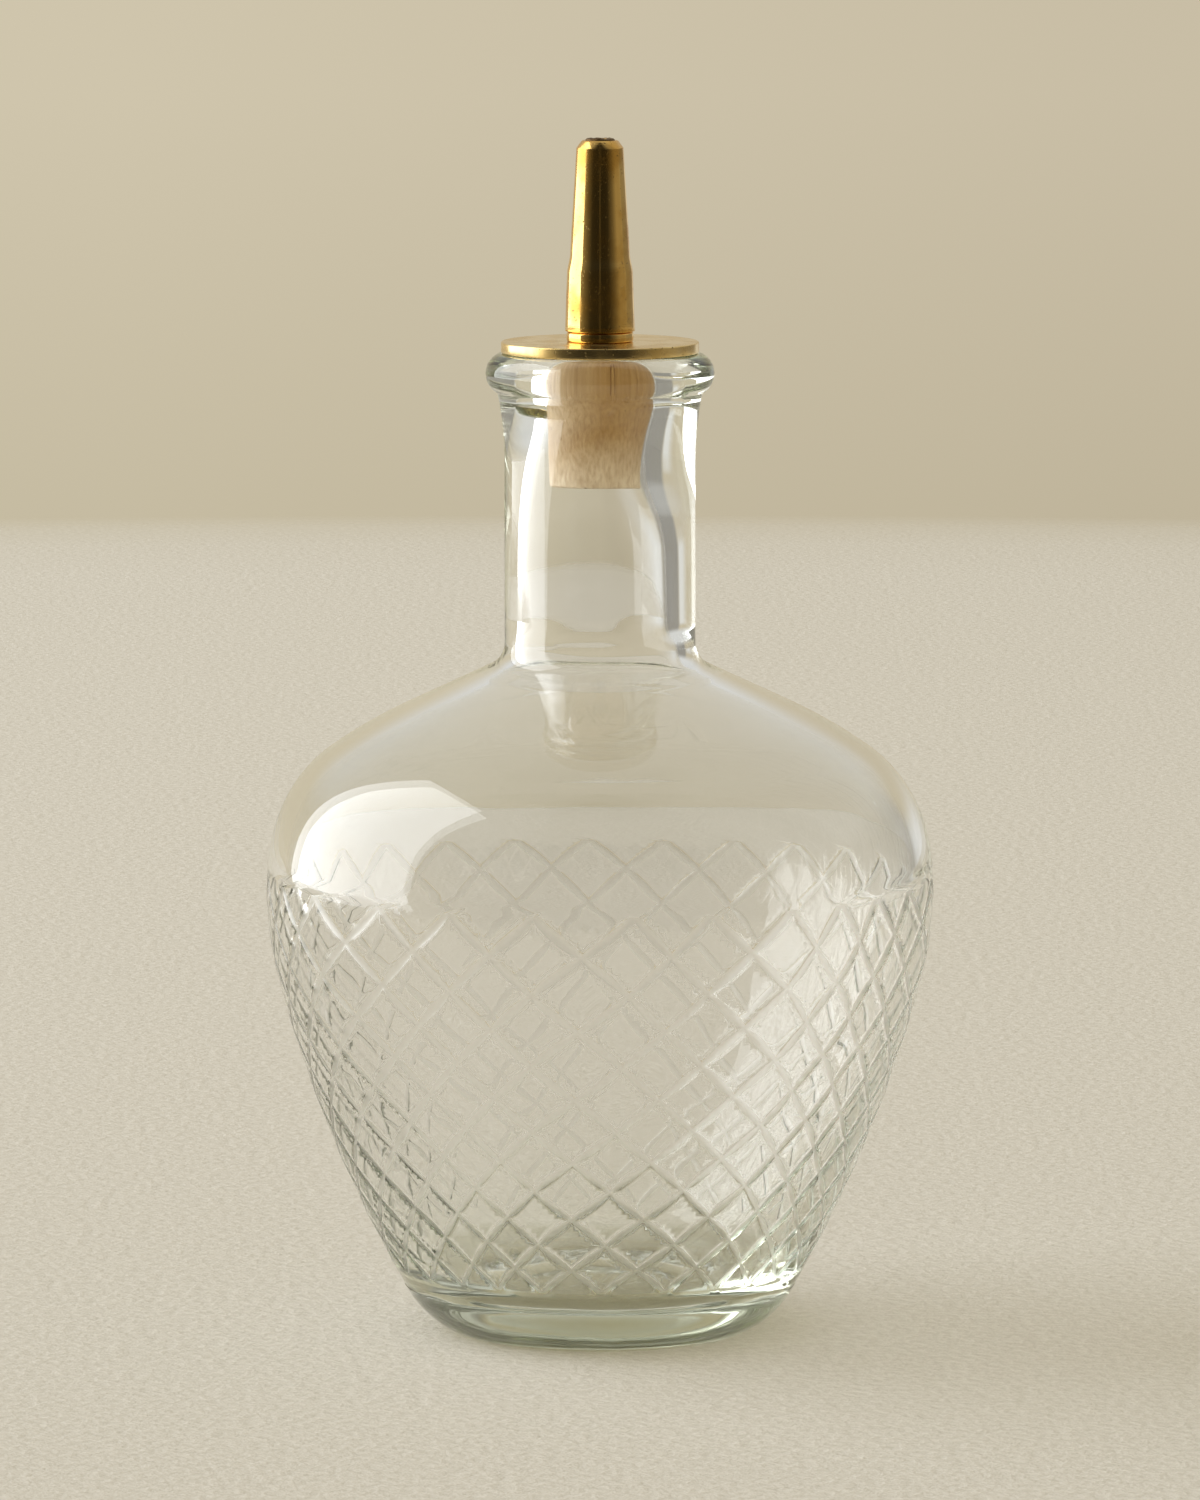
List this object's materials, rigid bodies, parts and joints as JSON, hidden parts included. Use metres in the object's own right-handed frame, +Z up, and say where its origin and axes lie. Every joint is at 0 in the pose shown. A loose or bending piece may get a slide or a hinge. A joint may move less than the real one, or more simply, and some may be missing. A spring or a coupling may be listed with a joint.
{
  "type": "bitters bottle",
  "caption": "Glass bottle with a round shoulder and cut diamond lattice, closed by a cork and brass dasher stopper that pulls out, with a conical nozzle that unscrews.",
  "frame": {"origin": "centre of the circle the bottle stands on", "axes": "+Z up along the bottle's axis, -Y towards the viewer of the picture"},
  "size_m": [0.0884, 0.0884, 0.1582],
  "materials": {
    "clear_glass": "clear, faintly green, polished, with cuts in a diamond lattice",
    "cork": "fine cork, sanded",
    "satin_brass": "satin",
    "turned_brass": "polished with fine turning marks",
    "drawn_brass": "drawn tube",
    "aged_brass": "dark, rough peened rim",
    "seal": "matte"
  },
  "bodies": {
    "bottle": {"glass_bottle": "clear_glass"},
    "stopper": {"cork_stopper": "cork", "flange_disc": "satin_brass", "threaded_collar": "turned_brass", "feed_tube": "drawn_brass"},
    "washer": {"nozzle_washer": "seal"},
    "nozzle": {"dasher_nozzle": "turned_brass", "dash_insert": "aged_brass"}
  },
  "joints": [
    {"name": "stopper_pull", "type": "slide", "parent": "bottle", "child": "stopper", "axis": [0, 0, 1], "range_m": [0, 0.042]},
    {"name": "nozzle_rise", "type": "slide", "parent": "stopper", "child": "washer", "axis": [0, 0, 1], "range_m": [0, 0.0072]},
    {"name": "nozzle_turn", "type": "hinge", "parent": "washer", "child": "nozzle", "pos_m": [0, 0, 0.1327], "axis": [0, 0, 1], "range_deg": [0, 3240]}
  ],
  "couplings": [
    {"joint": "nozzle_rise", "follows": "nozzle_turn", "m_per_rad": 0.0001273}
  ]
}
